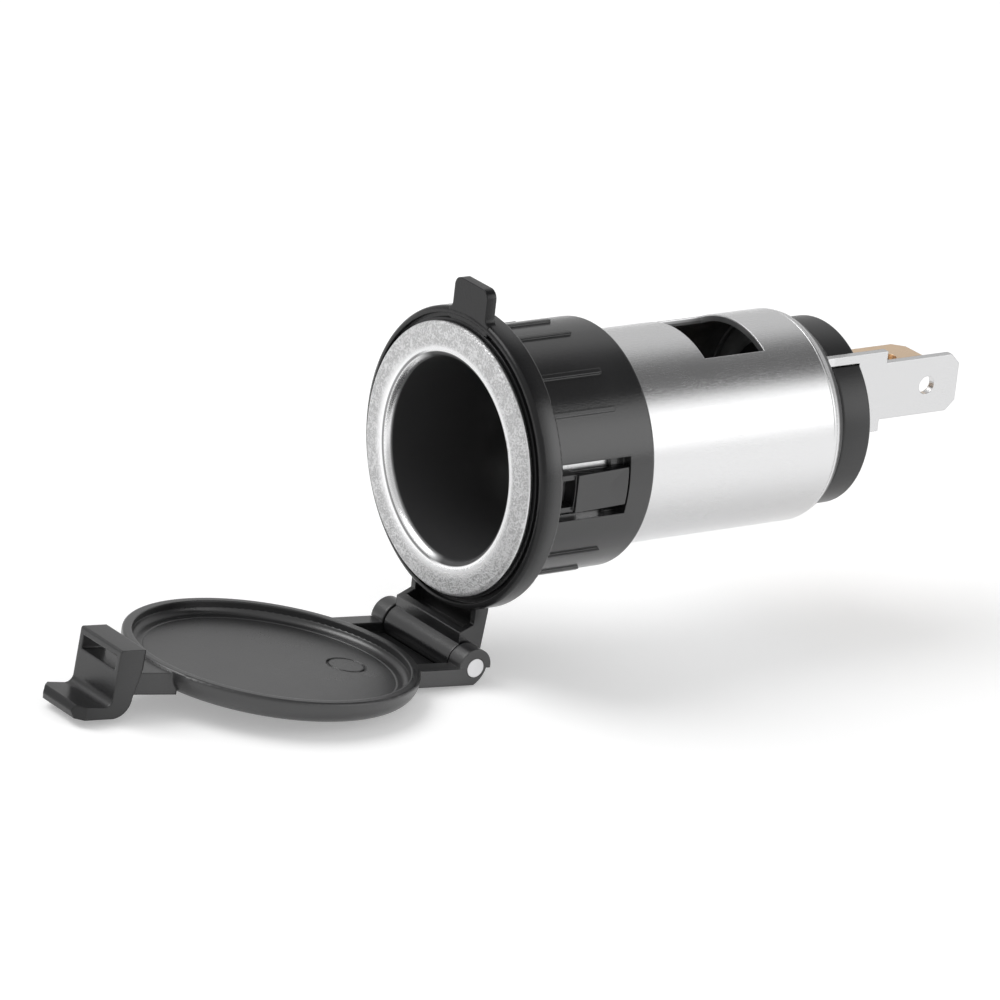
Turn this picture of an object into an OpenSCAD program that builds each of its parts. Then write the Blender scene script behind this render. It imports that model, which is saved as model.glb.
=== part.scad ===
// Panel power socket with a hinged lid.
// The plug's axis runs along Y, and the mouth looks towards -Y.
// The origin is on that axis, in the plane of the flange's back face.
// The hinge is below the mouth and the latch above it. The lid stands open.

/* [Socket tube] */
// Diameter of the bore that takes the plug
bore_d = 21; // [20:0.1:22]
// Thickness of the tube's sheet metal
sheet_t = 0.75; // [0.6:0.05:0.9]
// Length of the tube from its face ring to its closed end
tube_l = 43.9; // [40:0.1:60]
// Width of the face ring, from the bore outwards
ring_w = 3.75; // [3.2:0.05:3.9]
// Thickness of the face ring
ring_t = 0.9; // [0.75:0.05:1.2]
// Radius of the rolled edge at the mouth
mouth_r = 0.9; // [0.8:0.1:1.6]
// Outer radius of the shoulder at the closed end
shoulder_r = 2.2; // [1.4:0.1:2.6]
// Depth of the relief in the bore beside the inner contact
relief_h = 0.2; // [0.2:0.05:0.3]
// Length of that relief from the tube's closed end
relief_l = 4.5; // [4.4:0.1:6]
// Distance from the face ring to the window in the tube
tube_window_y = 27.7; // [20:0.1:30]
// Length of the window along the tube
tube_window_l = 7.8; // [4:0.2:9]
// Angle that the window takes around the tube
tube_window_a = 60; // [40:5:80]
// Radius of the hole in the closed end, around the rear insulator's boss
end_hole_r = 4.5; // [3.5:0.1:5]

/* [Collar] */
// Width of the flange outside the face ring
flange_rim_w = 1.45; // [1.2:0.05:2.5]
// Thickness of the flange
flange_t = 2.6; // [2.2:0.1:3.6]
// Radius of the flange's outer edges
flange_edge_r = 0.5; // [0.2:0.05:0.7]
// Radius of the flange's rear edge
flange_back_r = 0.25; // [0.1:0.05:0.5]
// Wall of the barrel behind the flange
barrel_wall = 1.7; // [1.4:0.1:2.4]
// Length of the barrel behind the flange
barrel_l = 13.6; // [12:0.2:20]
// Radius of the barrel's rear edge
barrel_edge_r = 0.3; // [0.1:0.05:0.5]
// Distance from the face ring to the groove around it
groove_gap = 0.25; // [0.1:0.05:0.3]
// Width of the groove around the face ring
groove_w = 0.5; // [0.3:0.05:0.6]
// Depth of the groove around the face ring
groove_depth = 0.5; // [0.2:0.05:1]
// Clearance between the tube and the collar's bore
tube_fit = 0.05; // [0.02:0.01:0.1]

/* [Ribs] */
// Angle from each side of the barrel to the first rib above and below it
rib_low_a = 36; // [30:0.5:42]
// Angle from each side of the barrel to the second rib
rib_mid_a = 55; // [48:0.5:65]
// Angle from each side of the barrel to the third rib
rib_high_a = 82; // [74:0.5:86]
// Width of a rib
rib_w = 0.55; // [0.3:0.05:1]
// Height of a rib above the barrel
rib_h = 0.3; // [0.1:0.05:0.6]
// Length of a rib behind the flange
rib_l = 9.2; // [5:0.2:11]

/* [Snap tongues] */
// Distance from the flange to the window around a tongue
tongue_window_y = 1.9; // [1:0.1:3]
// Length of the window around a tongue
tongue_window_l = 8.6; // [7:0.1:9.5]
// Width of a tongue
tongue_w = 4; // [3:0.1:5]
// Width of the slots above and below a tongue
side_slot_w = 1.1; // [0.6:0.05:1.5]
// Width of the slot behind a tongue
end_slot_w = 0.25; // [0.2:0.05:0.6]
// Thickness of a tongue
tongue_t = 1; // [0.7:0.05:1.2]
// Height that a tongue's catch stands out
catch_h = 0.45; // [0.2:0.05:0.8]
// Length of the blind part of the window at the tongue's free end
blind_l = 1.7; // [1:0.1:2.5]
// Wall left under the blind part
blind_wall = 0.5; // [0.3:0.05:0.6]
// Length of the hole at the tongue's root
root_hole_l = 1.55; // [1:0.05:2]
// Width of the hole at the tongue's root
root_hole_w = 2.9; // [1.5:0.1:3.2]
// Strip between the window's front edge and the hole
root_strip = 0.1; // [0.05:0.05:0.4]

/* [Latch ear] */
// Width of the ear on top of the flange
ear_w = 5.7; // [4:0.1:6]
// Thickness of the ear
ear_t = 1.15; // [0.8:0.05:1.4]
// Distance from the flange's front face to the ear
ear_setback = 0.05; // [0:0.05:0.4]
// Height of the ear above the flange's edge
ear_h = 3.2; // [2.8:0.1:4]
// Radius of the ear's top corners
ear_corner_r = 1; // [0.4:0.1:1.4]
// Radius of the fillets at the ear's foot
ear_foot_r = 0.7; // [0.3:0.1:1]

/* [Hinge] */
// Distance from the flange's front face forward to the hinge axis
hinge_forward = 0.1; // [0:0.05:0.3]
// Distance from the flange's edge down to the hinge axis
hinge_drop = 4.4; // [4:0.1:5.5]
// Diameter of the hinge pin
pin_d = 2; // [1.6:0.1:2.2]
// Clearance around the pin in the lid
pin_run_fit = 0.05; // [0.02:0.01:0.08]
// Clearance around the pin in the collar
pin_tight_fit = 0.01; // [0.005:0.005:0.02]
// Width of the collar's knuckle
knuckle_w = 11.4; // [8:0.2:14]
// Outer radius of the knuckle
knuckle_r = 2; // [1.8:0.05:2.1]
// Gap between the knuckle and each ear of the lid
knuckle_gap = 0.25; // [0.2:0.05:0.5]

/* [Hinge bracket] */
// Distance from the flange's back face forward to the bracket's back
bracket_setback = 0.15; // [0.02:0.01:0.3]
// Height of the bracket's straight back below the flange's edge
bracket_drop = 0.4; // [0.1:0.1:1]
// Distance that the bracket's back leans forward
bracket_lean = 0.45; // [0.1:0.05:0.6]
// Height above the hinge axis where the bracket's back turns to the knuckle
bracket_turn_h = 1.2; // [0.8:0.1:1.8]
// Angle below the hinge axis where the bracket's back meets the knuckle
bracket_heel_a = 14; // [0:1:30]
// Thickness of the bracket's end walls beside the pocket
pocket_wall = 0.75; // [0.5:0.05:1.5]
// Height of the lip below the flange's edge
lip_drop = 1.3; // [1.1:0.05:1.6]
// Distance that the lip stands in front of the flange
lip_forward = 0.85; // [0.5:0.05:0.9]
// Thickness of the lip
lip_t = 0.7; // [0.4:0.05:0.9]
// Length of the pocket behind the lip
pocket_l = 2; // [1:0.1:2.4]
// Length of the slope at each end of the pocket
pocket_ramp_l = 1.7; // [1:0.1:2]
// Height of the lip's foot above the hinge axis
lip_foot_h = 1.5; // [1:0.1:2]

/* [Lid] */
// Angle that the lid stands open
lid_open = 85; // [60:0.2:95]
// Distance from the flange's edge in to the lid's edge
lid_inset = 0.3; // [0.1:0.05:0.5]
// Height of the lid from its lip to its outer face
lid_h = 2.6; // [2.4:0.05:2.8]
// Thickness of the lid's floor
lid_floor_t = 1.2; // [0.9:0.05:1.4]
// Thickness of the lid's rim
lid_rim_t = 1; // [0.7:0.05:1.1]
// Radius of the lid's outer edge
lid_edge_r = 2.1; // [1:0.1:2.3]
// Radius of the lip's outer edge
lid_lip_r = 0.25; // [0.1:0.05:0.4]
// Gap between the closed lid and the flange
lid_gap = 0.1; // [0.05:0.05:0.2]
// Thickness of each hinge ear of the lid
lid_ear_t = 2.05; // [1.5:0.05:3]
// Distance from the lid's lip down to the top of each hinge arm
lid_arm_drop = 0.05; // [0.05:0.05:0.4]
// Distance from the hinge axis down to the underside of each hinge arm
lid_arm_low = 1.85; // [1.6:0.05:2]
// Thickness of the web between the hinge arms
web_t = 0.75; // [0.6:0.05:0.8]
// Outer radius of the hinge ears
lid_ear_r = 1.95; // [1.8:0.05:2.1]
// Distance that the hinge ears' round top is shifted towards the lid and the rear
lid_ear_shift = 0.1; // [0:0.05:0.2]
// Radius of the heel under each hinge ear
lid_heel_r = 2.85; // [2.8:0.05:3]
// Height of the heel's centre above the hinge axis
lid_heel_h = 0.55; // [0.4:0.05:0.6]
// Distance from the hinge axis along the lid to the heel's centre
lid_heel_u = 1.45; // [1.3:0.05:1.5]
// Depth of the ring groove in the lid's floor
lid_groove_depth = 0.35; // [0.1:0.05:0.5]
// Width of the ring groove in the lid's floor
lid_groove_w = 1.2; // [0.3:0.1:1.4]
// Sideways place of the round mark in the lid's floor
gate_x = 1.8; // [-5:0.1:5]
// Place of the round mark along the lid, from the lid's middle towards the latch
gate_u = -8.4; // [-9:0.1:9]
// Radius of the round mark in the lid's floor
gate_r = 2.1; // [0.8:0.05:2.6]
// Width of the line around the round mark
gate_line_w = 0.25; // [0.1:0.05:0.4]
// Depth of the line around the round mark
gate_depth = 0.2; // [0.05:0.05:0.4]

/* [Lid latch] */
// Width of the latch block
latch_w = 7.4; // [6.8:0.1:9]
// Thickness of the latch block
latch_t = 3; // [2.4:0.1:3.6]
// Clearance between the latch ear's sides and the latch window
latch_side_gap = 0.25; // [0.2:0.05:0.4]
// Clearance before and behind the latch ear in its window
latch_face_gap = 0.15; // [0.1:0.05:0.3]
// Distance that the ear reaches into the window
latch_grip = 0.6; // [0.3:0.05:1]
// Wall of the latch block behind the window
latch_hook_t = 0.75; // [0.5:0.05:1]
// Width of the bridge where it meets the latch block
bridge_w = 7; // [6:0.1:7.2]
// Width that the bridge gains towards the lid on each side
bridge_flare = 0.7; // [0:0.1:1]
// Distance from the lid's lip down to the top of the bridge
bridge_drop = 0.3; // [0.2:0.05:0.8]
// Length of the finger tab in front of the latch block
finger_l = 4.1; // [2:0.1:5]
// Thickness of the finger tab at its root
finger_root_t = 1.25; // [1:0.05:2]
// Thickness of the finger tab at its tip
finger_tip_t = 1.45; // [0.6:0.05:1.6]
// Length of the pointed nose at the finger tab's tip
finger_nose_l = 0.3; // [0.1:0.05:0.5]
// Radius of the fillet between the latch block and the finger tab
finger_fillet_r = 0.9; // [0.4:0.1:1.2]
// Distance from the lid's outer face to the finger tab's underside
finger_drop = 2.45; // [2:0.05:3.5]
// Radius of the heel under the latch block
latch_heel_r = 2.1; // [1.2:0.1:2.2]
// Distance that the heel sits in from the latch block's rear
heel_inset = 0.7; // [0.3:0.1:0.8]
// Height above the hinge axis where the block's rear slants to the heel
heel_slant_h = 0.2; // [-0.4:0.1:0.6]
// Bevel of the finger tab's corners
finger_bevel = 1.1; // [0.5:0.1:2]

/* [Rear insulator] */
// Distance from the tube's outside in to the rear insulator's edge
insulator_inset = 1.3; // [0.9:0.05:1.8]
// Thickness of the rear insulator
insulator_t = 3.7; // [3:0.1:5]
// Radius of the insulator's edges
insulator_edge_r = 0.3; // [0.1:0.05:0.6]
// Clearance between the insulator's boss and the hole in the tube's end
boss_fit = 0.1; // [0.05:0.05:0.3]

/* [Ground blade] */
// Width of both terminal blades
blade_w = 6.3; // [4.8:0.1:6.3]
// Thickness of both terminal blades
blade_t = 0.8; // [0.6:0.05:0.9]
// Distance from the tube's outside in to the ground blade's outer face
ground_inset = 4.55; // [4.4:0.05:5]
// Distance from the tube's outside in to the height of the ground blade's middle
ground_z_inset = 7.4; // [6.9:0.05:7.6]
// Length of the ground terminal behind the insulator
ground_l = 13.6; // [12:0.2:18]
// Distance from the insulator to the top step of the ground blade
top_step_l = 3.7; // [2:0.1:5]
// Height of the top step above the ground blade
top_step_h = 1.3; // [0.5:0.1:1.4]
// Length of the lower shoulder behind the insulator
low_step_l = 3.6; // [0.6:0.05:4]
// Depth of the lower shoulder below the ground blade
low_step_h = 1.3; // [1:0.1:2.6]
// Height of the strap that joins the blade to the tube
strap_h = 0.95; // [0.9:0.05:1.6]
// Clearance around the strap in the insulator's notch
strap_gap = 0.15; // [0.1:0.05:0.3]
// Radius of the hole in each blade
blade_hole_r = 1; // [0.6:0.05:1.1]
// Distance from a blade's tip to its hole
blade_hole_inset = 4.1; // [2:0.1:4.5]
// Bevel of a blade's tip corners
blade_bevel = 1.1; // [0.4:0.1:1.6]

/* [Centre terminal] */
// Height of the centre blade above the plug's axis
centre_z = 4.4; // [4.2:0.1:5.6]
// Length of the centre terminal behind the insulator
centre_l = 13.4; // [12:0.2:18]
// Inner radius of the centre terminal's bend
bend_r = 0.5; // [0.2:0.05:1]
// Reach of the centre terminal's foot below the rivet
foot_drop = 3.1; // [2.6:0.1:4]

/* [Inner contact] */
// Gap between the inner insulating washer and the bore's wall
washer_gap = 2.5; // [2:0.1:4]
// Thickness of the inner insulating washer
washer_t = 1; // [0.6:0.1:1.6]
// Radius of the inner contact's dish
contact_r = 5; // [3.5:0.1:6]
// Thickness of the inner contact
contact_t = 0.5; // [0.3:0.05:0.8]
// Height of the inner contact's dish
contact_h = 2.4; // [1.6:0.1:4]
// Radius of the rivet's shank
rivet_r = 1.5; // [1:0.05:1.8]
// Radius of the rivet's heads
rivet_head_r = 2.5; // [2:0.05:2.8]
// Height of the rivet's heads
rivet_head_h = 0.8; // [0.5:0.05:1.2]
// Clearance around the rivet's shank
rivet_fit = 0.02; // [0.01:0.01:0.05]

/* [Hidden] */
$fn = 96;
// Amount by which a cutter passes the surface that it cuts
over = 0.5;
bore_r = bore_d / 2;
tube_r = bore_r + sheet_t;
rib_angles = [rib_low_a, rib_mid_a, rib_high_a];
ring_r = bore_r + ring_w;
ground_x = tube_r - ground_inset;
ground_z = tube_r - ground_z_inset;
insulator_r = tube_r - insulator_inset;
washer_r = bore_r - washer_gap;
flange_r = ring_r + flange_rim_w;
collar_bore_r = tube_r + tube_fit;
barrel_r = collar_bore_r + barrel_wall;
front_y = -flange_t;
face_y = front_y - ring_t;
tube_end_y = face_y + tube_l;
rear_y = tube_end_y + insulator_t;
tongue_end_y = tongue_window_y + tongue_window_l;
tongue_in_r = barrel_r - tongue_t;
slot_half = tongue_w / 2 + side_slot_w;
catch_y = tongue_window_y + root_strip + root_hole_l + root_strip;
ear_y = front_y + ear_setback;
ear_top = flange_r + ear_h;
hinge_y = front_y - hinge_forward;
hinge_z = -(flange_r + hinge_drop);
lip_y = front_y - lip_forward;
lip_z = -(flange_r + lip_drop);
knuckle_half = knuckle_w / 2;
lid_half = knuckle_half + knuckle_gap + lid_ear_t;
lid_c = -hinge_z;
lid_r = flange_r - lid_inset;
// Radius inside the lid's rim where the arms and the bridge end
lid_root_r = lid_r - 3 * lid_rim_t / 4;
// Heights in the closed lid's own frame are measured rearwards from the hinge axis
lip_h = hinge_forward - lid_gap;
outer_h = lip_h - lid_h;
floor_h = outer_h + lid_floor_t;
window_low_h = ear_y - latch_face_gap - hinge_y;
window_high_h = ear_y + ear_t + latch_face_gap - hinge_y;
latch_top_h = window_high_h + latch_hook_t;
latch_in_u = lid_c + ear_top - latch_grip;
latch_out_u = latch_in_u + latch_t;
finger_low_h = outer_h - finger_drop;
bridge_h = lip_h - bridge_drop;
heel_h = finger_low_h + latch_heel_r;
heel_u = latch_in_u + heel_inset + latch_heel_r;
finger_end_u = latch_out_u + finger_l;
ground_top = ground_z + blade_w / 2;
ground_low = ground_z - blade_w / 2;
strap_top = ground_top + top_step_h;
washer_y = tube_end_y - sheet_t - washer_t;
contact_y = washer_y - contact_t;
foot_y = rear_y + blade_t;

// Turns a shape drawn around Z so that its Z runs along the plug's axis
module along_y() {
  rotate([-90, 0, 0]) children();
}

// A round bar along X between two places
module bar_x(r, x0, x1) {
  translate([x0, 0, 0]) rotate([0, 90, 0]) cylinder(r = r, h = x1 - x0);
}

// A block between two corners
module block(low, high) {
  translate(low) cube(high - low);
}

// Extrudes an outline drawn in Y and Z along X between two places
module extrude_x(x0, x1) {
  translate([x0, 0, 0]) rotate([90, 0, 90]) linear_extrude(x1 - x0) children();
}

// The waste outside a rounded corner, in the quadrant that the two signs give
module corner_waste(at, r, sx, sy) {
  translate([at[0] - sx * r, at[1] - sy * r]) difference() {
    scale([sx, sy]) square(r + over);
    circle(r);
  }
}

// Half section of the tube, with radius along X and distance behind the face along Y
module tube_section() {
  difference() {
    union() {
      translate([bore_r, 0]) square([sheet_t, tube_l - shoulder_r]);
      translate([bore_r, 0]) square([ring_r - ring_t / 2 - bore_r, ring_t]);
      translate([ring_r - ring_t / 2, ring_t / 2]) circle(ring_t / 2);
      translate([end_hole_r, tube_l - sheet_t]) square([tube_r - shoulder_r - end_hole_r, sheet_t]);
      intersection() {
        translate([tube_r - shoulder_r, tube_l - shoulder_r]) difference() {
          circle(shoulder_r);
          circle(shoulder_r - sheet_t);
        }
        translate([tube_r - shoulder_r, tube_l - shoulder_r]) square(shoulder_r + over);
      }
    }
    corner_waste([bore_r, 0], mouth_r, -1, -1);
    translate([bore_r - over, tube_l - relief_l])
      square([relief_h + over, relief_l - shoulder_r]);
  }
}

// Flat outline of the ground terminal, with distance along the axis as X and height as Y
module ground_outline() {
  difference() {
    union() {
      translate([tube_end_y - sheet_t, strap_top - strap_h])
        square([insulator_t + sheet_t + top_step_l, strap_h]);
      translate([rear_y, ground_low]) square([top_step_l, strap_top - ground_low]);
      translate([rear_y, ground_low - low_step_h]) square([low_step_l, low_step_h + blade_w]);
      translate([rear_y, ground_low]) square([ground_l, blade_w]);
    }
    for (side = [-1, 1])
      translate([rear_y + ground_l, ground_z + side * blade_w / 2]) rotate(45)
        square(blade_bevel * sqrt(2), center = true);
    translate([rear_y + ground_l - blade_hole_inset, ground_z]) circle(blade_hole_r);
  }
}

module socket_tube() {
  half = 2 * tube_r * tan(tube_window_a / 2);
  color("silver") {
    difference() {
      translate([0, face_y, 0]) along_y() rotate_extrude() tube_section();
      translate([0, face_y + tube_window_y, 0]) along_y() linear_extrude(tube_window_l)
        polygon([[0, 0], [half, -2 * tube_r], [-half, -2 * tube_r]]);
    }
    extrude_x(ground_x - blade_t, ground_x) ground_outline();
  }
}

// Half section of the collar, with radius along X and distance along the axis as Y
module collar_section() {
  difference() {
    union() {
      translate([collar_bore_r, front_y]) square([flange_r - collar_bore_r, flange_t]);
      translate([collar_bore_r, front_y]) square([barrel_wall, flange_t + barrel_l]);
    }
    corner_waste([flange_r, front_y], flange_edge_r, 1, -1);
    corner_waste([flange_r, 0], flange_back_r, 1, 1);
    corner_waste([barrel_r, barrel_l], barrel_edge_r, 1, 1);
    translate([ring_r + groove_gap, front_y - over]) square([groove_w, groove_depth + over]);
  }
}

// Everything cut away around and under the tongue on the +X side
module tongue_waste() {
  low_x = collar_bore_r - barrel_wall;
  high_x = barrel_r + catch_h + over;
  through_y = tongue_end_y - blind_l;
  blind_r = collar_bore_r + blind_wall;
  for (side = [-1, 1]) {
    low_z = side > 0 ? tongue_w / 2 : -slot_half;
    block([low_x, tongue_window_y, low_z], [high_x, through_y, low_z + side_slot_w]);
    difference() {
      block([low_x, tongue_window_y, low_z], [high_x, tongue_end_y, low_z + side_slot_w]);
      along_y() cylinder(r = blind_r, h = barrel_l);
    }
  }
  difference() {
    block([low_x, tongue_end_y - end_slot_w, -slot_half], [high_x, tongue_end_y, slot_half]);
    along_y() cylinder(r = blind_r, h = barrel_l);
  }
  intersection() {
    block([low_x, catch_y, -tongue_w / 2], [high_x, through_y, tongue_w / 2]);
    along_y() cylinder(r = tongue_in_r, h = barrel_l);
  }
  difference() {
    intersection() {
      block([low_x, catch_y, -tongue_w / 2], [high_x, tongue_end_y, tongue_w / 2]);
      along_y() cylinder(r = tongue_in_r, h = barrel_l);
    }
    along_y() cylinder(r = blind_r, h = barrel_l);
  }
  block([low_x, tongue_window_y + root_strip, -root_hole_w / 2],
        [high_x, tongue_window_y + root_strip + root_hole_l, root_hole_w / 2]);
}

// The ramp on the +X tongue that holds the collar in its panel
module catch() {
  edge_x = sqrt(barrel_r * barrel_r - tongue_w * tongue_w / 4);
  end_y = tongue_end_y - end_slot_w;
  mid_x = (tongue_in_r + edge_x) / 2;
  translate([0, 0, -tongue_w / 2]) linear_extrude(tongue_w)
    polygon([[mid_x, catch_y], [edge_x + catch_h, catch_y], [edge_x, end_y], [mid_x, end_y]]);
}

module latch_ear() {
  root = flange_r - flange_rim_w;
  foot_at = flange_r + ear_foot_r;
  foot_x = ear_w / 2 + ear_foot_r;
  foot_z = sqrt(foot_at * foot_at - foot_x * foot_x);
  translate([0, ear_y + ear_t, 0]) rotate([90, 0, 0]) linear_extrude(ear_t) {
    translate([-ear_w / 2, root]) square([ear_w, ear_top - root - ear_corner_r]);
    translate([-ear_w / 2 + ear_corner_r, root]) square([ear_w - 2 * ear_corner_r, ear_top - root]);
    for (side = [-1, 1]) {
      translate([side * (ear_w / 2 - ear_corner_r), ear_top - ear_corner_r]) circle(ear_corner_r);
      scale([side, 1]) difference() {
        translate([ear_w / 2, root]) square([foot_x * flange_r / foot_at - ear_w / 2, foot_z - root]);
        translate([foot_x, foot_z]) circle(ear_foot_r);
      }
    }
  }
}

// The block under the flange that carries the knuckle, with the pocket that clears the lid's rim
module hinge_bracket() {
  root_z = -(flange_r - flange_rim_w - flange_edge_r);
  edge_z = -sqrt(flange_r * flange_r - knuckle_half * knuckle_half);
  pocket_y = lip_y + lip_t;
  ramp_y = lip_y + pocket_ramp_l;
  difference() {
    extrude_x(-knuckle_half, knuckle_half) polygon([
      [-bracket_setback, root_z],
      [-bracket_setback, edge_z - bracket_drop],
      [-bracket_setback - bracket_lean, hinge_z + bracket_turn_h],
      [hinge_y + knuckle_r * cos(bracket_heel_a), hinge_z - knuckle_r * sin(bracket_heel_a)],
      [hinge_y, hinge_z],
      [lip_y, hinge_z + lip_foot_h],
      [lip_y, lip_z],
      [ramp_y, lip_z + lip_t],
      [ramp_y, root_z]
    ]);
    block([-knuckle_half + pocket_wall, pocket_y, lip_z - lip_t],
          [knuckle_half - pocket_wall, pocket_y + pocket_l, root_z + over]);
  }
  translate([0, hinge_y, hinge_z]) bar_x(knuckle_r, -knuckle_half, knuckle_half);
}

module collar() {
  color("#26272a") difference() {
    union() {
      along_y() rotate_extrude() collar_section();
      for (side = [0, 180], flip = [-1, 1], angle = rib_angles)
        rotate([0, side - flip * angle, 0])
          block([barrel_r - barrel_wall / 2, 0, -rib_w / 2], [barrel_r + rib_h, rib_l, rib_w / 2]);
      for (side = [0, 180]) rotate([0, side, 0]) catch();
      latch_ear();
      hinge_bracket();
    }
    for (side = [0, 180]) rotate([0, side, 0]) tongue_waste();
    translate([0, hinge_y, hinge_z])
      bar_x(pin_d / 2 + pin_tight_fit, -knuckle_half - over, knuckle_half + over);
  }
}

module hinge_pin() {
  color("gainsboro") translate([0, hinge_y, hinge_z]) bar_x(pin_d / 2, -lid_half, lid_half);
}

// Half section of the lid's dish, with radius along X and height as Y
module lid_section() {
  inner_r = lid_r - lid_rim_t;
  difference() {
    union() {
      translate([0, outer_h]) square([lid_r, lid_floor_t]);
      translate([inner_r, outer_h]) square([lid_rim_t, lid_h]);
    }
    corner_waste([lid_r, outer_h], lid_edge_r, 1, -1);
    corner_waste([lid_r, lip_h], lid_lip_r, 1, 1);
    translate([inner_r - lid_groove_w, floor_h - lid_groove_depth])
      square([lid_groove_w, lid_groove_depth + over]);
  }
}

// Side outline of the latch block and its finger tab, with height as X and distance from the hinge as Y
module latch_outline() {
  root_h = finger_low_h + finger_root_t;
  difference() {
    polygon([
      [latch_top_h, latch_in_u],
      [latch_top_h, latch_out_u],
      [finger_low_h, latch_out_u],
      [finger_low_h, heel_u],
      [heel_h, heel_u],
      [heel_h, heel_u - latch_heel_r],
      [heel_slant_h, latch_in_u]
    ]);
    corner_waste([latch_top_h, latch_out_u], lid_lip_r, 1, 1);
  }
  translate([heel_h, heel_u]) intersection() {
    circle(latch_heel_r);
    translate([-latch_heel_r, -latch_heel_r]) square(latch_heel_r);
  }
  polygon([
    [finger_low_h, latch_out_u - over],
    [finger_low_h, finger_end_u - finger_nose_l],
    [finger_low_h + finger_tip_t / 2, finger_end_u],
    [finger_low_h + finger_tip_t, finger_end_u - finger_nose_l],
    [root_h, latch_out_u + finger_fillet_r],
    [root_h, latch_out_u - over]
  ]);
  difference() {
    translate([root_h - over, latch_out_u - over]) square(finger_fillet_r + over);
    translate([root_h + finger_fillet_r, latch_out_u + finger_fillet_r]) circle(finger_fillet_r);
  }
}

// Side outline of a hinge ear around the hinge axis, with height as X and distance along the lid as Y
module ear_outline() {
  intersection() {
    translate([lid_ear_shift, lid_ear_shift]) circle(lid_ear_r);
    translate([0, -2 * lid_ear_r]) square([2 * lid_ear_r, 4 * lid_ear_r]);
  }
  intersection() {
    translate([lid_heel_h, lid_heel_u]) circle(lid_heel_r);
    translate([-lid_arm_low, -2 * lid_ear_r]) square([lid_arm_low, 2 * lid_ear_r + lid_heel_u]);
  }
}

// The web, the hinge arms and the bridge, which end inside the lid's rim
module lid_joints() {
  ear_in = knuckle_half + knuckle_gap;
  neck_u = knuckle_r + knuckle_gap;
  arm_end = lid_c - sqrt(lid_root_r * lid_root_r - lid_half * lid_half) + over;
  bridge_start = lid_c + lid_root_r - lid_rim_t;
  near_half = bridge_w / 2;
  far_half = near_half + bridge_flare;
  difference() {
    union() {
      block([-lid_half, -lid_arm_low, neck_u], [lid_half, -lid_arm_low + web_t, arm_end]);
      for (side = [-1, 1]) {
        x0 = side > 0 ? ear_in : -lid_half;
        block([x0, -lid_arm_low, lid_heel_u], [x0 + lid_ear_t, lip_h - lid_arm_drop, arm_end]);
        block([x0, -lid_arm_low / 2, 0], [x0 + lid_ear_t, lip_h - lid_arm_drop, lid_heel_u + over]);
        extrude_x(x0, x0 + lid_ear_t) ear_outline();
      }
      translate([0, bridge_h, 0]) rotate([90, 0, 0]) linear_extrude(bridge_h - outer_h) polygon([
        [-far_half, bridge_start],
        [far_half, bridge_start],
        [near_half, latch_in_u + heel_inset + over],
        [-near_half, latch_in_u + heel_inset + over]
      ]);
    }
    translate([0, outer_h - over, lid_c]) along_y() cylinder(r = lid_root_r, h = lid_h + 2 * over);
  }
}

// The lid in its closed pose, measured from the hinge axis
module closed_lid() {
  window_half = ear_w / 2 + latch_side_gap;
  bevel_w = finger_bevel * sqrt(2);
  difference() {
    union() {
      translate([0, 0, lid_c]) along_y() rotate_extrude() lid_section();
      lid_joints();
      extrude_x(-latch_w / 2, latch_w / 2) latch_outline();
    }
    block([-window_half, window_low_h, latch_in_u - over],
          [window_half, window_high_h, latch_out_u + over]);
    for (side = [-1, 1])
      translate([side * latch_w / 2, 0, finger_end_u]) rotate([0, 45, 0])
        cube([bevel_w, 2 * (latch_top_h - finger_low_h), bevel_w], center = true);
    bar_x(pin_d / 2 + pin_run_fit, -lid_half - over, lid_half + over);
    translate([gate_x, floor_h - gate_depth, lid_c + gate_u]) along_y() difference() {
      cylinder(r = gate_r, h = gate_depth + over);
      cylinder(r = gate_r - gate_line_w, h = gate_depth + over);
    }
  }
}

module lid() {
  color("#2b2c2e") translate([0, hinge_y, hinge_z]) rotate([lid_open, 0, 0]) closed_lid();
}

module rear_insulator() {
  strap_low = strap_top - strap_h - strap_gap;
  color("#2a2a2c") difference() {
    union() {
      translate([0, tube_end_y, 0]) along_y() rotate_extrude() difference() {
        square([insulator_r, insulator_t]);
        corner_waste([insulator_r, insulator_t], insulator_edge_r, 1, 1);
        corner_waste([insulator_r, 0], insulator_edge_r, 1, -1);
      }
      translate([0, tube_end_y - sheet_t, 0]) along_y()
        cylinder(r = end_hole_r - boss_fit, h = sheet_t + over);
    }
    block([ground_x - blade_t - strap_gap, tube_end_y - over, strap_low],
          [insulator_r + over, rear_y + over, strap_top + strap_gap]);
    translate([0, tube_end_y - 2 * sheet_t, 0]) along_y()
      cylinder(r = rivet_r + rivet_fit, h = insulator_t + 3 * sheet_t);
  }
}

// Side outline of the centre terminal, with distance along the axis as X and height as Y
module centre_outline() {
  out_r = bend_r + blade_t;
  translate([rear_y, -foot_drop]) square([blade_t, centre_z + blade_t / 2 + foot_drop - out_r]);
  translate([rear_y + out_r, centre_z - blade_t / 2]) square([centre_l - out_r, blade_t]);
  translate([rear_y + out_r, centre_z + blade_t / 2 - out_r]) intersection() {
    difference() {
      circle(out_r);
      circle(bend_r);
    }
    translate([-out_r, 0]) square(out_r);
  }
}

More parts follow.
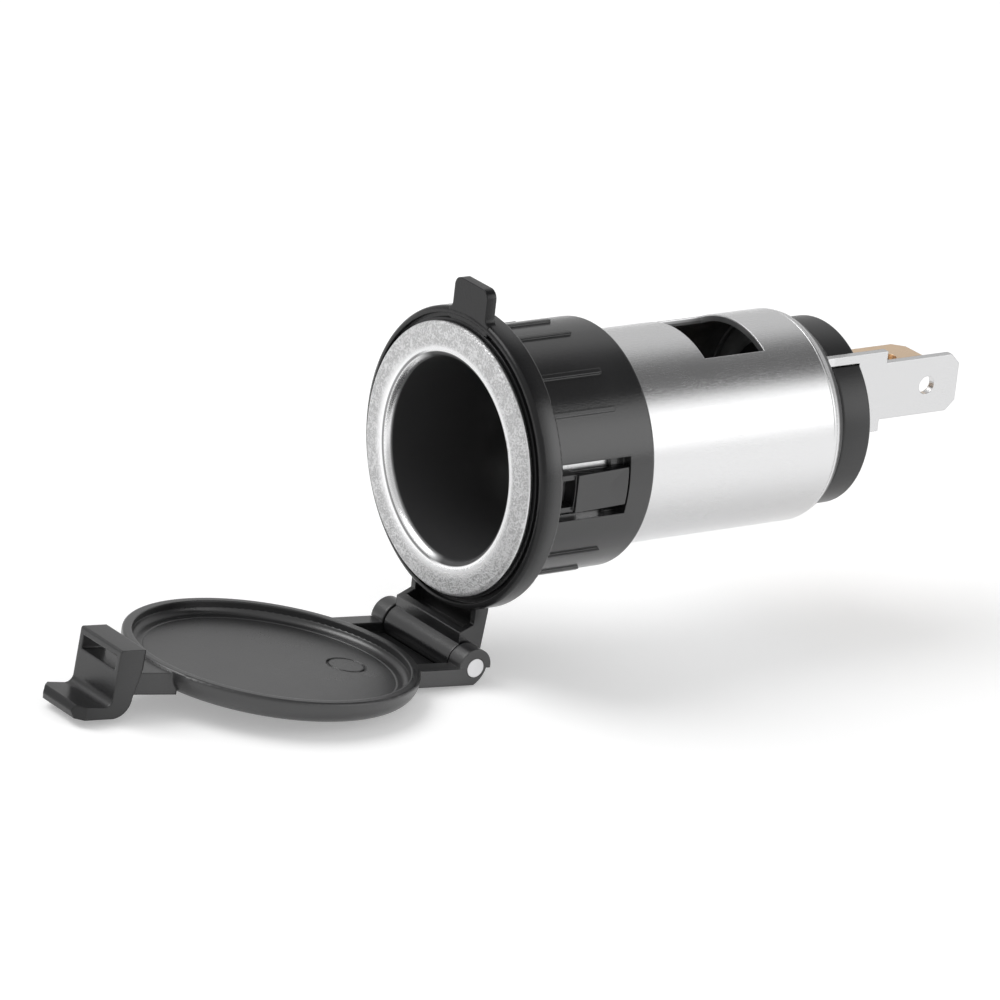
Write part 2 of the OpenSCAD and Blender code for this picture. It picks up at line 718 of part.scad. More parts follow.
module centre_terminal() {
  color("#d9b07c") difference() {
    extrude_x(-blade_w / 2, blade_w / 2) centre_outline();
    for (side = [-1, 1])
      translate([side * blade_w / 2, rear_y + centre_l, 0]) rotate([0, 0, 45])
        cube([blade_bevel * sqrt(2), blade_bevel * sqrt(2), 3 * centre_z], center = true);
    translate([0, rear_y + centre_l - blade_hole_inset, 0])
      cylinder(r = blade_hole_r, h = 2 * centre_z);
    translate([0, rear_y - over, 0]) along_y() cylinder(r = rivet_r + rivet_fit, h = blade_t + 2 * over);
  }
}

module centre_rivet() {
  dome_r = (rivet_head_r * rivet_head_r + rivet_head_h * rivet_head_h) / (2 * rivet_head_h);
  color("#c9a36a") {
    translate([0, contact_y, 0]) along_y() cylinder(r = rivet_r, h = foot_y - contact_y);
    for (end = [0, 1])
      translate([0, end > 0 ? foot_y : contact_y, 0]) rotate([0, 0, end > 0 ? 0 : 180])
        along_y() rotate_extrude() intersection() {
          translate([0, rivet_head_h - dome_r]) circle(dome_r);
          square([rivet_head_r, rivet_head_h]);
        }
  }
}

module inner_washer() {
  color("#3a3632") translate([0, washer_y, 0]) along_y() difference() {
    cylinder(r = washer_r, h = washer_t);
    translate([0, 0, -over]) cylinder(r = rivet_r + rivet_fit, h = washer_t + 2 * over);
  }
}

// A dished contact with a turned-up edge around the rivet's head
module centre_contact() {
  color("#c9a36a") translate([0, washer_y, 0]) along_y() rotate_extrude() {
    translate([rivet_r + rivet_fit, -contact_t]) square([contact_r - rivet_r - rivet_fit, contact_t]);
    translate([contact_r - contact_t, -contact_h]) square([contact_t, contact_h]);
  }
}

socket_tube();
collar();
lid();
hinge_pin();
rear_insulator();
centre_terminal();
centre_rivet();
inner_washer();
centre_contact();
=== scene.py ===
"""Looks of a panel power socket with a hinged lid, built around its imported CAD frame.

All sizes are in metres, in the frame's own axes: the plug's axis is Y, the mouth looks
towards -Y, Z is up to the latch ear, and the hinge is below the mouth.
"""

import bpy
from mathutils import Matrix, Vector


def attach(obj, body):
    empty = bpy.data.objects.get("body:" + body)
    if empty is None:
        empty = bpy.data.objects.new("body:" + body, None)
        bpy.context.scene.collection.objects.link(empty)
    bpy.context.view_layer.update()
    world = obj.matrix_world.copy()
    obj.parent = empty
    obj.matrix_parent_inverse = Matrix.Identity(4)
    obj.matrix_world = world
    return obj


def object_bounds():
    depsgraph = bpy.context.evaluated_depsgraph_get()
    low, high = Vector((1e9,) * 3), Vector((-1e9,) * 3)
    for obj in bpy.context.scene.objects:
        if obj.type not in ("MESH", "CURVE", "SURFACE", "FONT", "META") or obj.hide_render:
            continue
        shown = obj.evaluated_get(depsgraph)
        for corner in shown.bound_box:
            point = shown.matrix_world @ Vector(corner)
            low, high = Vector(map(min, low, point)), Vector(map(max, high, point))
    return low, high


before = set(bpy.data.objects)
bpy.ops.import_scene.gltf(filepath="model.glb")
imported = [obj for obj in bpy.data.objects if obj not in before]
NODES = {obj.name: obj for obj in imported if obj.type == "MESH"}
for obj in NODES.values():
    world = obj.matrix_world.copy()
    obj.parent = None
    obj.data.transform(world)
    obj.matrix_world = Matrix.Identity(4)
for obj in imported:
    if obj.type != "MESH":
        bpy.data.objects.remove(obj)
CAD_BOX = [list(corner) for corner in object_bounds()]

import math

import bpy
import numpy as np
from bpy.props import FloatProperty, FloatVectorProperty, PointerProperty
from bpy.types import Operator, Panel, PropertyGroup
from mathutils import Matrix, Vector

bl_info = {
    "name": "Panel power socket",
    "version": (1, 0, 0),
    "blender": (4, 5, 0),
    "location": "3D View > Sidebar > Socket",
    "description": "Builds the finishes, the fine pieces and the studio of a panel power socket",
    "category": "Object",
}

MM = 0.001
HOUSING = "housing"
LID = "lid"
HINGE = (-2.7 * MM, -20.1 * MM)
OPEN = math.radians(85)
FACE_Y = -3.5 * MM
CAMERA_ANGLES = (52.400, 19.750, 6.520)
CAMERA_LENS = 288.0
FACE_FROM_CAMERA = (-5.610, -4.183, 816.71)


class Val:
    """A socket or a number, with the arithmetic that the finishes use."""

    def __init__(self, finish, source):
        self.finish = finish
        self.source = source

    def _maths(self, operation, *others, clamp=False):
        node = self.finish.tree.nodes.new("ShaderNodeMath")
        node.operation = operation
        node.use_clamp = clamp
        for place, value in enumerate((self, *others)):
            self.finish.feed(node.inputs[place], value)
        return Val(self.finish, node.outputs[0])

    def __add__(self, other):
        return self._maths("ADD", other)

    __radd__ = __add__

    def __sub__(self, other):
        return self._maths("SUBTRACT", other)

    def __rsub__(self, other):
        return Val(self.finish, other)._maths("SUBTRACT", self)

    def __mul__(self, other):
        return self._maths("MULTIPLY", other)

    __rmul__ = __mul__

    def root(self):
        return self._maths("SQRT")

    def size(self):
        return self._maths("ABSOLUTE")

    def angle_to(self, other):
        return self._maths("ARCTAN2", other)

    def clamp(self):
        return self._maths("ADD", 0.0, clamp=True)

    def step(self, low, high):
        """0 below low, 1 above high, and a smooth rise between them."""
        made = self.finish.make(
            "ShaderNodeMapRange", {"interpolation_type": "SMOOTHSTEP"},
            {"Value": self, "From Min": low, "From Max": high, "To Min": 0.0, "To Max": 1.0})
        return made["Result"]


class Finish:
    """One procedural material and its node tree."""

    def __init__(self, name):
        self.material = bpy.data.materials.new(name)
        self.material.use_nodes = True
        self.tree = self.material.node_tree
        self.tree.nodes.clear()
        self.place = self.make("ShaderNodeTexCoord", {}, {})["Object"]
        self.x, self.y, self.z = self.split(self.place)

    def feed(self, socket, value):
        """Links a socket to the value, or sets it to a plain number or colour."""
        if isinstance(value, Val):
            value = value.source
        if isinstance(value, bpy.types.NodeSocket):
            self.tree.links.new(value, socket)
        else:
            socket.default_value = value

    def make(self, kind, settings, inputs):
        """Makes a node: its settings first, then the values or links of its sockets."""
        node = self.tree.nodes.new(kind)
        for key, value in settings.items():
            setattr(node, key, value)
        for key, value in inputs.items():
            self.feed(node.inputs[key], value)
        return {out.name: Val(self, out) for out in node.outputs if out.enabled}

    def split(self, vector):
        """The three parts of a vector."""
        made = self.make("ShaderNodeSeparateXYZ", {}, {"Vector": vector})
        return made["X"], made["Y"], made["Z"]

    def join(self, x, y, z):
        """A vector from its three parts."""
        return self.make("ShaderNodeCombineXYZ", {}, {"X": x, "Y": y, "Z": z})["Vector"]

    def noise(self, scale, detail=2.0, vector=None, rough=0.5):
        """Soft noise from 0 to 1, over the piece's own place or another vector."""
        made = self.make("ShaderNodeTexNoise", {},
                         {"Vector": self.place if vector is None else vector, "Scale": scale,
                          "Detail": detail, "Roughness": rough})
        return made["Fac"] if "Fac" in made else made["Factor"]

    def blend(self, share, first, second):
        """The first colour where share is 0, and the second where it is 1."""
        node = self.tree.nodes.new("ShaderNodeMix")
        node.data_type = "RGBA"
        colours = [socket for socket in node.inputs if socket.type == "RGBA"]
        self.feed(node.inputs[0], share)
        self.feed(colours[0], first)
        self.feed(colours[1], second)
        return Val(self, [out for out in node.outputs if out.type == "RGBA"][0])

    def edges(self, radius):
        """The normal of a surface whose sharp edges are rounded by this radius."""
        return self.make("ShaderNodeBevel", {"samples": 6}, {"Radius": radius})["Normal"]

    def bump(self, height, depth, normal):
        """A normal that is disturbed by a height of this depth."""
        inputs = {"Height": height, "Distance": depth, "Normal": normal}
        return self.make("ShaderNodeBump", {}, inputs)["Normal"]

    def shader(self, **sockets):
        """Makes one surface shader with these sockets."""
        shader = self.tree.nodes.new("ShaderNodeBsdfPrincipled")
        for key, value in sockets.items():
            title = key.replace("_", " ").title().replace(" Ior ", " IOR ")
            self.feed(shader.inputs[title], value)
        return shader.outputs[0]

    def mixed(self, share, first, second):
        """The first shader where share is 0, and the second where it is 1."""
        node = self.tree.nodes.new("ShaderNodeMixShader")
        for place, value in enumerate((share, first, second)):
            self.feed(node.inputs[place], value)
        return node.outputs[0]

    def end(self, shader):
        """Ends the tree in this shader."""
        output = self.tree.nodes.new("ShaderNodeOutputMaterial")
        self.tree.links.new(shader, output.inputs["Surface"])
        return self.material

    def surface(self, **sockets):
        """Ends the tree in one surface shader with these sockets."""
        return self.end(self.shader(**sockets))


def opaque(colour):
    """The colour with its fourth part, the opacity, at 1."""
    return (colour[0], colour[1], colour[2], 1.0)


def shade(colour, factor):
    """The colour made darker or lighter by a factor."""
    return (colour[0] * factor, colour[1] * factor, colour[2] * factor, 1.0)


def mesh_of(name, points, quads, smooth=True):
    """A mesh from an array of points and an array of quads."""
    mesh = bpy.data.meshes.new(name)
    mesh.vertices.add(len(points))
    mesh.vertices.foreach_set("co", np.asarray(points, np.float32).ravel())
    mesh.loops.add(quads.size)
    mesh.loops.foreach_set("vertex_index", quads.astype(np.int32).ravel())
    mesh.polygons.add(len(quads))
    mesh.polygons.foreach_set("loop_start", np.arange(0, quads.size, 4, dtype=np.int32))
    mesh.polygons.foreach_set("use_smooth", np.full(len(quads), smooth))
    mesh.update(calc_edges=True)
    mesh.validate()
    return mesh


def ring_quads(rows, around):
    """Quads of a closed tube of rows points in its profile and around profiles in a circle."""
    i, j = np.meshgrid(np.arange(rows), np.arange(around), indexing="ij")
    i2, j2 = (i + 1) % rows, (j + 1) % around
    return np.stack([i * around + j, i2 * around + j, i2 * around + j2, i * around + j2],
                    -1).reshape(-1, 4)


def opened(x, u, h, angle):
    """Points of the lid's own frame, with u along it from the hinge and h towards the rear,
    turned open: y = -u sin(angle) + h cos(angle) and z = u cos(angle) + h sin(angle), both
    from the hinge axis."""
    s, c = math.sin(angle), math.cos(angle)
    return np.stack([x, HINGE[0] - u * s + h * c, HINGE[1] + u * c + h * s], -1)


def lid_fillet(looks):
    """The moulded fillet between the lid's floor and its rim: flat on the floor out to the
    radius r1, then r = r1 + f sin t and h = floor + f (1 - cos t) for t from 0 to 90 degrees,
    and back inside the wall, swept around the lid's centre."""
    f = looks.fillet_radius
    inner, wall, floor = 13.0 * MM, 14.4 * MM, -1.385 * MM
    outer, under = wall + 0.2 * MM, floor - 0.5 * MM
    t = np.linspace(0, np.pi / 2, 12)
    r = np.concatenate([[inner, inner + 0.3 * (wall - f - inner)], wall - f + f * np.sin(t),
                        [outer, outer, inner]])
    h = np.concatenate([[floor, floor], floor + f * (1 - np.cos(t)), [floor + f, under, under]])
    v = np.linspace(0, 2 * np.pi, 240, endpoint=False)
    radius, angle = np.meshgrid(r, v, indexing="ij")
    height = np.repeat(h[:, None], len(v), 1)
    points = opened(radius * np.sin(angle), -HINGE[1] + radius * np.cos(angle), height, OPEN)
    return mesh_of("lid_fillet", points.reshape(-1, 3), ring_quads(len(r), len(v)))


def lid_trough(looks):
    """The hollow lip that carries the lid's web on under the knuckle. Its upper side is an
    arc of radius r around the hinge axis, with u = r cos a and h = -r sin a, for a from 33 to
    60 degrees, and its lower side lies level at h = -1.93 mm. It starts inside the web and
    runs straight from x = -w to w."""
    r, low, w = looks.trough_radius, -1.93 * MM, 5.6 * MM
    web_u, web_h = 2.45 * MM, -1.13 * MM
    a = np.radians(np.linspace(33, 60, 16))
    u = np.concatenate([[web_u], r * np.cos(a)])
    top = np.concatenate([[web_h], -r * np.sin(a)])
    n = len(u)
    section_u = np.concatenate([u, u[::-1]])
    section_h = np.concatenate([top, np.full(n, low)])
    x, along = np.meshgrid([-w, w], section_u, indexing="ij")
    points = opened(x, along, np.repeat(section_h[None, :], 2, 0), OPEN)
    j = np.arange(2 * n)
    j2 = (j + 1) % (2 * n)
    k = np.arange(n - 1)
    caps = np.stack([k, k + 1, 2 * n - 2 - k, 2 * n - 1 - k], -1)
    sides = np.stack([j, 2 * n + j, 2 * n + j2, j2], -1)
    quads = np.vstack([sides, caps, 2 * n + caps[:, ::-1]])
    return mesh_of("lid_trough", points.reshape(-1, 3), quads, smooth=False)


def add_piece(name, mesh, material, body):
    """Links a new piece, gives it its material and lets it ride on a body."""
    piece = bpy.data.objects.new(name, mesh)
    bpy.context.scene.collection.objects.link(piece)
    dress(piece, material)
    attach(piece, body)


def dress(piece, material):
    """Gives a piece or a CAD node this one material."""
    piece.data.materials.clear()
    piece.data.materials.append(material)


class SocketLooks(PropertyGroup):
    """Colours and finish sizes of the socket."""

    plastic_colour: FloatVectorProperty(
        name="Plastic colour", description="Colour of the collar and the lid",
        subtype="COLOR", size=3, min=0, max=1, default=(0.009, 0.009, 0.0095))
    plastic_gloss: FloatProperty(
        name="Plastic roughness", description="Roughness of the moulded plastic",
        subtype="FACTOR", min=0, max=1, default=0.22)
    sheen: FloatProperty(
        name="Plastic sheen", description="Strength of the plastic's reflections",
        subtype="FACTOR", min=0, max=1, default=0.95)
    dull_sheen: FloatProperty(
        name="Dull sheen", description="Strength of the reflections on the textured front parts",
        subtype="FACTOR", min=0, max=1, default=0.28)
    metal_colour: FloatVectorProperty(
        name="Metal colour", description="Colour of the plated tube",
        subtype="COLOR", size=3, min=0, max=1, default=(0.77, 0.77, 0.775))
    metal_gloss: FloatProperty(
        name="Metal roughness", description="Roughness of the plated tube",
        subtype="FACTOR", min=0, max=1, default=0.26)
    # painted shade: the colour that stands for the shade inside the tube
    bore_shade_colour: FloatVectorProperty(
        name="Bore colour", description="Colour of the darkened inside of the tube",
        subtype="COLOR", size=3, min=0, max=1, default=(0.05, 0.05, 0.0515))
    brass_colour: FloatVectorProperty(
        name="Brass colour", description="Colour of the centre terminal",
        subtype="COLOR", size=3, min=0, max=1, default=(0.88, 0.655, 0.445))
    pin_colour: FloatVectorProperty(
        name="Pin colour", description="Colour of the cut hinge pin",
        subtype="COLOR", size=3, min=0, max=1, default=(0.78, 0.78, 0.79))
    edge_radius: FloatProperty(
        name="Moulded edge", description="Rounding of the moulded edges",
        subtype="DISTANCE", unit="LENGTH", min=0, max=0.001, default=0.00018)
    fillet_radius: FloatProperty(
        name="Lid fillet", description="Radius of the fillet between the lid's floor and its rim",
        subtype="DISTANCE", unit="LENGTH", min=0.0002, max=0.0012, default=0.0007)
    trough_radius: FloatProperty(
        name="Trough radius", description="Radius of the hollow lip under the knuckle",
        subtype="DISTANCE", unit="LENGTH", min=0.00205, max=0.0022, default=0.00207)
    speck_size: FloatProperty(
        name="Speck size", description="Size of the specks on the face ring",
        subtype="DISTANCE", unit="LENGTH", min=0.0001, max=0.002, default=0.0002)


class StudioSettings(PropertyGroup):
    """Floor and lights."""

    floor_colour: FloatVectorProperty(
        name="Floor colour", description="Colour of the plain floor",
        subtype="COLOR", size=3, min=0, max=1, default=(0.82, 0.82, 0.82))
    sky_strength: FloatProperty(
        name="Surround", description="Strength of the light from all around",
        min=0, max=5, default=0.80)
    box_strength: FloatProperty(
        name="Softbox", description="Power of the softbox behind the socket",
        subtype="POWER", unit="POWER", min=0, max=100, default=0.5)
    top_strength: FloatProperty(
        name="Top light", description="Power of the light above the socket",
        subtype="POWER", unit="POWER", min=0, max=100, default=4.6)


def plated_metal(looks):
    """Satin plating: fine draw lines along the tube and a speckled face ring, with painted light:
    a highlight on the mouth's roll, and shade in the bore, around the mouth and behind the
    tongue's hole.
    """
    f = Finish("plated tube")
    far = (f.x * f.x + f.z * f.z).root()

    # the face ring and its specks, and the roll at its mouth with a painted highlight on its
    # lower left side
    face = 1 - f.y.step(-3.35 * MM, -3.15 * MM)
    ring = face * far.step(11.4 * MM, 12.0 * MM)
    specks = f.noise(1.0 / looks.speck_size, 3.0, None, 0.7) * 0.8
    specks = (specks + f.noise(0.25 / looks.speck_size, 2.0) * 0.2).step(0.42, 0.58)
    # painted highlight: the roll is coloured lighter towards its lower left
    roll = face * (1 - far.step(11.6 * MM, 12.7 * MM))
    roll = roll * (f.x * -0.6 - f.z * 0.8).step(-6 * MM, 5 * MM)

    # the side of the mouth that is turned away from the light, and on it a painted shade line
    # around the mouth, standing for the shade in a groove
    near = (f.x * -0.97 - f.z * 0.26).step(1.5 * MM, 4.5 * MM)
    groove_shade = far.step(10.98 * MM, 11.08 * MM) * (1 - far.step(11.22 * MM, 11.36 * MM))
    groove_shade = groove_shade * (1 - f.y.step(-2.9 * MM, -2.7 * MM)) * near

    # the bore painted dark as its shade, with lighter painted reflections in it, up to the closed
    # end
    inside = (1 - far.step(10.75 * MM, 10.85 * MM)) * f.y.step(-3.05 * MM, -2.6 * MM) * near
    inside = inside + (1 - far.step(11.02 * MM, 11.16 * MM)) * (1 - near)
    inside = inside * (1 - f.y.step(39.7 * MM, 39.9 * MM))

    # painted shade on the tube behind the hole at the snap tongue's root, added to the bore's
    # dark colour
    behind = f.y.step(1.2 * MM, 1.8 * MM) * (1 - f.y.step(5.3 * MM, 5.9 * MM))
    behind = behind * f.z.step(-3.0 * MM, -2.7 * MM) * (1 - f.z.step(0.8 * MM, 1.1 * MM))
    inside = inside + behind * far.step(11.0 * MM, 11.15 * MM) * 0.9
    # painted reflection: lighter noise patches deep in the painted dark bore
    bore_glimmer = inside * f.y.step(7.0 * MM, 12.0 * MM) * f.noise(160.0, 2.0).step(0.35, 0.7)

    # the ground blade, and the low ridge around the tube's neck
    blade = f.y.step(40.5 * MM, 41.0 * MM)
    neck = f.y.step(38.15 * MM, 38.3 * MM) * (1 - f.y.step(38.45 * MM, 38.75 * MM))

    around = f.x.angle_to(f.z) * 12.0
    lines = f.noise(90.0, 3.0, f.join(around, f.y * 12.0, far * 40.0), 0.6)
    cloud = f.noise(130.0, 2.0)
    colour = f.blend(ring * (0.15 + specks * 0.85), opaque(looks.metal_colour),
                     shade(looks.metal_colour, 0.64))
    # painted highlight on the lower left of the roll
    colour = f.blend(roll, colour, shade(looks.metal_colour, 1.25))
    # painted shade: a dark line around the mouth on that side
    colour = f.blend(groove_shade * 0.75, colour, opaque(looks.bore_shade_colour))
    # painted shade in the bore, which also has less metal and more roughness there
    colour = f.blend(inside, colour, opaque(looks.bore_shade_colour))
    # painted dim reflections in the bore
    colour = f.blend(bore_glimmer * 0.6, colour, shade(looks.metal_colour, 0.25))
    colour = f.blend(blade, colour, shade(looks.metal_colour, 0.90))
    rough = looks.metal_gloss + (lines - 0.5) * 0.10 + (cloud - 0.5) * 0.06 + ring * 0.16
    rough = rough + inside * 0.18
    height = lines * 0.25 + ring * specks * 2.0 + neck * 4.0
    normal = f.bump(height, 0.02 * MM, f.edges(0.12 * MM))
    return f.surface(base_color=colour, metallic=1.0 - inside * 0.8, roughness=rough.clamp(),
                     normal=normal)


def moulded_plastic(looks, name, sheen, lift=1.0, gloss=0.0, edge=1.0):
    """Satin moulded plastic: a very fine grain, slow changes of gloss and soft edges. The sheen
    is a function that gives the share of the full sheen at a place, and the rest is duller."""
    f = Finish(name)
    grain = f.noise(5200.0, 2.0)
    cloud = f.noise(120.0, 3.0)
    colour = f.blend(cloud.step(0.3, 0.75), shade(looks.plastic_colour, lift),
                     shade(looks.plastic_colour, lift * 1.35))
    rough = looks.plastic_gloss + gloss + (cloud - 0.5) * 0.10 + (grain - 0.5) * 0.08
    normal = f.bump(grain, 0.012 * MM, f.edges(looks.edge_radius * edge))
    sockets = {"base_color": colour, "roughness": rough.clamp(), "normal": normal}
    bright = f.shader(specular_ior_level=looks.sheen, **sockets)
    matt = f.shader(specular_ior_level=looks.dull_sheen, **sockets)
    return f.end(f.mixed(sheen(f), matt, bright))


def collar_sheen(f):
    """Dull on the front of the flange and on the ear, but not on the hinge bracket."""
    return 1 - (1 - f.y.step(-2.4 * MM, -0.4 * MM)) * f.z.step(-17.0 * MM, -15.0 * MM)


def lid_sheen(f):
    """Duller towards the finger tab, and dull on the web between the hinge arms as painted shade
    in the corner under the knuckle.
    """
    # painted shade: the web's reflections are weakened where it lies in shade under the knuckle
    web = f.y.step(-9.5 * MM, -7.5 * MM) * (1 - f.x.size().step(5.4 * MM, 5.7 * MM))
    return f.y.step(-52.0 * MM, -36.0 * MM) * (1 - web)


def insulator_sheen(f):
    """A little more sheen towards the rear."""
    return f.y.step(20.0 * MM, 60.0 * MM)


def stamped_metal(name, colour, gloss):
    """Stamped strip: rolling lines along the blade and a softened edge."""
    f = Finish(name)
    lines = f.noise(900.0, 3.0, f.join(f.x, f.y * 0.06, f.z), 0.6)
    cloud = f.noise(260.0, 3.0)
    shown = f.blend(cloud.step(0.35, 0.8), opaque(colour), shade(colour, 0.88))
    rough = gloss + (lines - 0.5) * 0.12 + (cloud - 0.5) * 0.08
    normal = f.bump(lines, 0.008 * MM, f.edges(0.1 * MM))
    return f.surface(base_color=shown, metallic=1.0, roughness=rough.clamp(), normal=normal)


class SOCKET_OT_tube(Operator):
    """Finish the plug tube and its ground blade"""

    bl_idname = "socket.tube"
    bl_label = "Socket tube"

    def execute(self, context):
        dress(NODES["socket_tube"], plated_metal(context.scene.socket_looks))
        return {"FINISHED"}


class SOCKET_OT_collar(Operator):
    """Finish the snap-in collar"""

    bl_idname = "socket.collar"
    bl_label = "Collar"

    def execute(self, context):
        looks = context.scene.socket_looks
        dress(NODES["collar"], moulded_plastic(looks, "collar plastic", collar_sheen))
        return {"FINISHED"}


class SOCKET_OT_lid(Operator):
    """Finish the hinged lid"""

    bl_idname = "socket.lid"
    bl_label = "Lid"

    def execute(self, context):
        looks = context.scene.socket_looks
        plastic = moulded_plastic(looks, "lid plastic", lid_sheen, 1.2, 0.08, 1.7)
        dress(NODES["lid"], plastic)
        add_piece("lid_fillet", lid_fillet(looks), plastic, LID)
        add_piece("lid_trough", lid_trough(looks), plastic, LID)
        return {"FINISHED"}


class SOCKET_OT_hinge_pin(Operator):
    """Finish the hinge pin"""

    bl_idname = "socket.hinge_pin"
    bl_label = "Hinge pin"

    def execute(self, context):
        looks = context.scene.socket_looks
        dress(NODES["hinge_pin"], stamped_metal("cut pin", looks.pin_colour, 0.34))
        return {"FINISHED"}


class SOCKET_OT_insulators(Operator):
    """Finish the rear insulator and the inner washer"""

    bl_idname = "socket.insulators"
    bl_label = "Insulators"

    def execute(self, context):
        looks = context.scene.socket_looks
        plastic = moulded_plastic(looks, "insulator plastic", insulator_sheen, 1.1, 0.12)
        dress(NODES["rear_insulator"], plastic)
        dress(NODES["inner_washer"], plastic)
        return {"FINISHED"}


class SOCKET_OT_terminals(Operator):
    """Finish the centre terminal, its rivet and the inner contact"""

    bl_idname = "socket.terminals"
    bl_label = "Centre terminal"

    def execute(self, context):
        looks = context.scene.socket_looks
        brass = stamped_metal("stamped brass", looks.brass_colour, 0.3)
        for node in ("centre_terminal", "centre_rivet", "centre_contact"):
            dress(NODES[node], brass)
        return {"FINISHED"}


def camera_pose():
    """The photograph's camera: azimuth, elevation and roll in degrees, and the place of the
    face ring's centre in the camera's own axes, in millimetres."""
    azimuth, elevation, roll = (math.radians(angle) for angle in CAMERA_ANGLES)
    centre = Vector(FACE_FROM_CAMERA) * MM
    back = Vector((math.sin(azimuth) * math.cos(elevation),
                   -math.cos(azimuth) * math.cos(elevation), math.sin(elevation)))
    level = Vector((math.cos(azimuth), math.sin(azimuth), 0))
    upright = back.cross(level)
    right = level * math.cos(roll) + upright * math.sin(roll)
    up = upright * math.cos(roll) - level * math.sin(roll)
    place = Vector((0, FACE_Y, 0)) - right * centre.x + up * centre.y + back * centre.z
    pose = Matrix((right, up, back)).transposed().to_4x4()
    pose.translation = place
    return pose


def area_light(name, place, target, size, power):
    """A round soft light at a place, turned towards its target."""
    lamp = bpy.data.lights.new(name, "AREA")
    lamp.shape = "DISK"
    lamp.size = size
    lamp.energy = power
    holder = bpy.data.objects.new(name, lamp)
    bpy.context.scene.collection.objects.link(holder)
    holder.location = place
    aim = Vector(target) - Vector(place)
    holder.rotation_euler = aim.to_track_quat("-Z", "Y").to_euler()


def floor_disc(low, radius=2.0, rings=6, sides=96):
    """A flat round floor: radius times the square of u outwards, and an angle v around."""
    u = np.linspace(0.02, 1, rings) ** 2
    v = np.linspace(0, 2 * np.pi, sides, endpoint=False)
    r, a = np.meshgrid(radius * u, v, indexing="ij")
    points = np.stack([r * np.cos(a), r * np.sin(a), np.full_like(r, low)], -1).reshape(-1, 3)
    points = np.vstack([[0, 0, low], points])
    i, j = np.meshgrid(np.arange(rings - 1), np.arange(sides), indexing="ij")
    k = (j + 1) % sides
    quads = np.stack([1 + i * sides + j, 1 + (i + 1) * sides + j,
                      1 + (i + 1) * sides + k, 1 + i * sides + k], -1).reshape(-1, 4)
    side = np.arange(sides)
    fan = np.stack([np.zeros(sides, int), 1 + side, 1 + (side + 1) % sides], -1)
    mesh = bpy.data.meshes.new("floor")
    mesh.from_pydata(points.tolist(), [], fan.tolist() + quads.tolist())
    mesh.update()
    return mesh


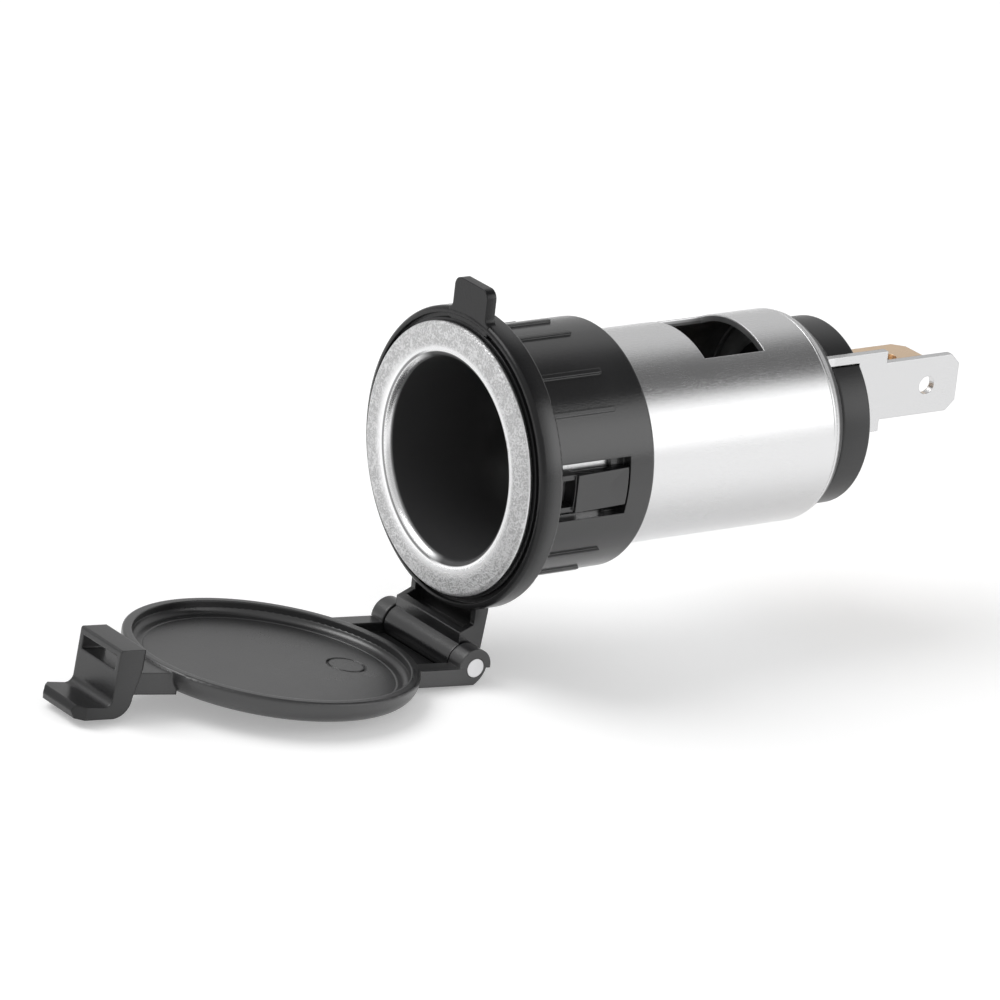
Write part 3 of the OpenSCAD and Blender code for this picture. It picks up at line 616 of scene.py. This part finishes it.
class SOCKET_OT_studio(Operator):
    """Make the floor, the lights, the surround and the camera"""

    bl_idname = "socket.studio"
    bl_label = "Studio"

    def execute(self, context):
        scene = context.scene
        studio = scene.socket_studio
        floor = bpy.data.objects.new("floor", floor_disc(CAD_BOX[0][2] - 0.00005))
        scene.collection.objects.link(floor)
        f = Finish("pale floor")
        cloud = f.noise(3.0, 2.0)
        colour = f.blend(cloud, opaque(studio.floor_colour), shade(studio.floor_colour, 0.985))
        floor.data.materials.append(f.surface(
            base_color=colour, roughness=0.9, emission_color=colour, emission_strength=0.38))

        area_light("softbox", (0.46, 0.42, 0.26), (0, 0.01, 0), 0.5, studio.box_strength)
        area_light("top light", (-0.35, -0.45, 0.75), (0, 0.01, -0.01), 0.7, studio.top_strength)
        self.surround(scene, studio.sky_strength)

        lens = bpy.data.cameras.new("camera")
        lens.sensor_width = 36.0
        lens.lens = CAMERA_LENS
        lens.clip_start = 0.01
        lens.clip_end = 20.0
        viewer = bpy.data.objects.new("camera", lens)
        scene.collection.objects.link(viewer)
        viewer.matrix_world = camera_pose()
        scene.camera = viewer
        scene.view_settings.view_transform = "Standard"
        scene.view_settings.look = "None"
        return {"FINISHED"}

    def surround(self, scene, strength):
        """A pale surround with a soft dark patch above and behind the socket, and a bright one
        low behind it. Each row is a direction, two angles from it in degrees, and the gain."""
        world = bpy.data.worlds.new("surround")
        scene.world = world
        world.use_nodes = True
        tree = world.node_tree
        tree.nodes.clear()
        place = tree.nodes.new("ShaderNodeTexCoord")
        level = None
        for towards, inner, outer, gain in (((0.176, 0.577, 0.797), 9, 37, 0.2),
                                            ((0.80, 0.577, 0.16), 12, 42, 1.42)):
            dot = tree.nodes.new("ShaderNodeVectorMath")
            dot.operation = "DOT_PRODUCT"
            tree.links.new(place.outputs["Generated"], dot.inputs[0])
            dot.inputs[1].default_value = Vector(towards).normalized()
            patch = tree.nodes.new("ShaderNodeMapRange")
            patch.interpolation_type = "SMOOTHSTEP"
            for key, value in (("From Min", math.cos(math.radians(outer))),
                               ("From Max", math.cos(math.radians(inner))),
                               ("To Min", 1.0), ("To Max", gain)):
                patch.inputs[key].default_value = value
            tree.links.new(dot.outputs["Value"], patch.inputs["Value"])
            both = tree.nodes.new("ShaderNodeMath")
            both.operation = "MULTIPLY"
            if level is None:
                both.inputs[1].default_value = strength
            else:
                tree.links.new(level, both.inputs[1])
            tree.links.new(patch.outputs["Result"], both.inputs[0])
            level = both.outputs[0]
        back = tree.nodes.new("ShaderNodeBackground")
        tree.links.new(level, back.inputs["Strength"])
        out = tree.nodes.new("ShaderNodeOutputWorld")
        tree.links.new(back.outputs[0], out.inputs["Surface"])


OPERATORS = (SOCKET_OT_tube, SOCKET_OT_collar, SOCKET_OT_lid, SOCKET_OT_hinge_pin,
             SOCKET_OT_insulators, SOCKET_OT_terminals, SOCKET_OT_studio)


class SOCKET_PT_panel(Panel):
    """Lists the pieces and the studio"""

    bl_idname = "SOCKET_PT_panel"
    bl_label = "Power socket"
    bl_space_type = "VIEW_3D"
    bl_region_type = "UI"
    bl_category = "Socket"

    def draw(self, context):
        for group in (context.scene.socket_looks, context.scene.socket_studio):
            for name in group.bl_rna.properties.keys():
                if name not in {"rna_type", "name"}:
                    self.layout.prop(group, name)
        for operator in OPERATORS:
            self.layout.operator(operator.bl_idname)


CLASSES = (SocketLooks, StudioSettings, *OPERATORS, SOCKET_PT_panel)


def register():
    for item in CLASSES:
        bpy.utils.register_class(item)
    bpy.types.Scene.socket_looks = PointerProperty(type=SocketLooks)
    bpy.types.Scene.socket_studio = PointerProperty(type=StudioSettings)


def unregister():
    del bpy.types.Scene.socket_studio
    del bpy.types.Scene.socket_looks
    for item in reversed(CLASSES):
        bpy.utils.unregister_class(item)


def main():
    register()
    for operator in OPERATORS:
        group, name = operator.bl_idname.split(".")
        getattr(getattr(bpy.ops, group), name)()


if __name__ == "__main__":
    main()
